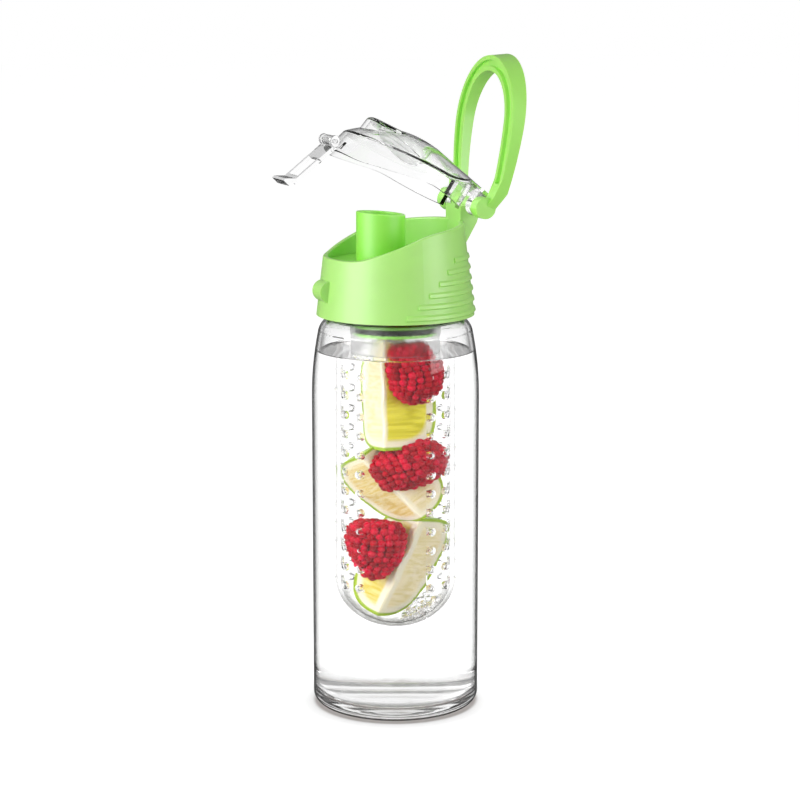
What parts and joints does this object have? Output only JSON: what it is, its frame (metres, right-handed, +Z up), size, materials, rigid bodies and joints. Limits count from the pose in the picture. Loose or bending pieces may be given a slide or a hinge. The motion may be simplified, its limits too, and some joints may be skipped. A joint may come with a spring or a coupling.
{
  "type": "infuser water bottle",
  "caption": "Clear screw-cap water bottle with a perforated infuser basket, a flip lid over a drinking spout, a snap latch and a swinging carry loop.",
  "frame": {"origin": "centre of the ring that the bottle stands on, on the ground", "axes": "+Z up along the bottle's axis; the front of the cap, with the catch and latch, faces -Y, and the hinge and carry loop are at +Y; the hinge axis runs along X"},
  "size_m": [0.073, 0.1058, 0.2847],
  "materials": {
    "clear_bottle": "clear, polished",
    "green_cap": "lime green, satin",
    "green_insert": "lime green, satin",
    "seal_rubber": "dark grey, matte",
    "frosted_collar": "frosted, translucent",
    "clear_basket": "clear, polished",
    "clear_lid": "clear, polished",
    "seal_silicone": "pale grey, translucent",
    "clear_latch": "clear, polished",
    "latch_pin_plastic": "clear, polished",
    "pin_steel": "bright",
    "green_loop": "lime green, satin"
  },
  "bodies": {
    "bottle": {"bottle_body": "clear_bottle"},
    "seal": {"neck_seal": "seal_rubber"},
    "cap": {"cap_shell": "green_cap", "cap_insert": "green_insert", "infuser_seal": "seal_rubber", "hinge_pin": "pin_steel"},
    "lid": {"flip_lid": "clear_lid", "spout_seal": "seal_silicone", "latch_pin": "latch_pin_plastic"},
    "latch": {"latch_flap": "clear_latch"},
    "loop": {"carry_loop": "green_loop"},
    "infuser": {"infuser_collar": "frosted_collar", "infuser_basket": "clear_basket"}
  },
  "joints": [
    {"name": "cap_rise", "type": "slide", "parent": "bottle", "child": "seal", "axis": [0, 0, 1], "range_m": [0, 0.0091]},
    {"name": "cap_turn", "type": "hinge", "parent": "seal", "child": "cap", "pos_m": [0, 0, 0.184], "axis": [0, 0, 1], "range_deg": [0, 360]},
    {"name": "lid_hinge", "type": "hinge", "parent": "cap", "child": "lid", "pos_m": [0, 0.0335, 0.2203], "axis": [-1, 0, 0], "range_deg": [-40, 30]},
    {"name": "latch_hinge", "type": "hinge", "parent": "lid", "child": "latch", "pos_m": [0, -0.02977, 0.24976], "axis": [-1, 0, 0], "range_deg": [-5, 95]},
    {"name": "loop_swing", "type": "hinge", "parent": "cap", "child": "loop", "pos_m": [0, 0.0335, 0.2203], "axis": [-1, 0, 0], "range_deg": [0, 150]},
    {"name": "infuser_pull", "type": "slide", "parent": "cap", "child": "infuser", "axis": [0, 0, -1], "range_m": [0, 0.02]}
  ],
  "couplings": [
    {"joint": "cap_rise", "follows": "cap_turn", "m_per_rad": 0.0014324}
  ]
}
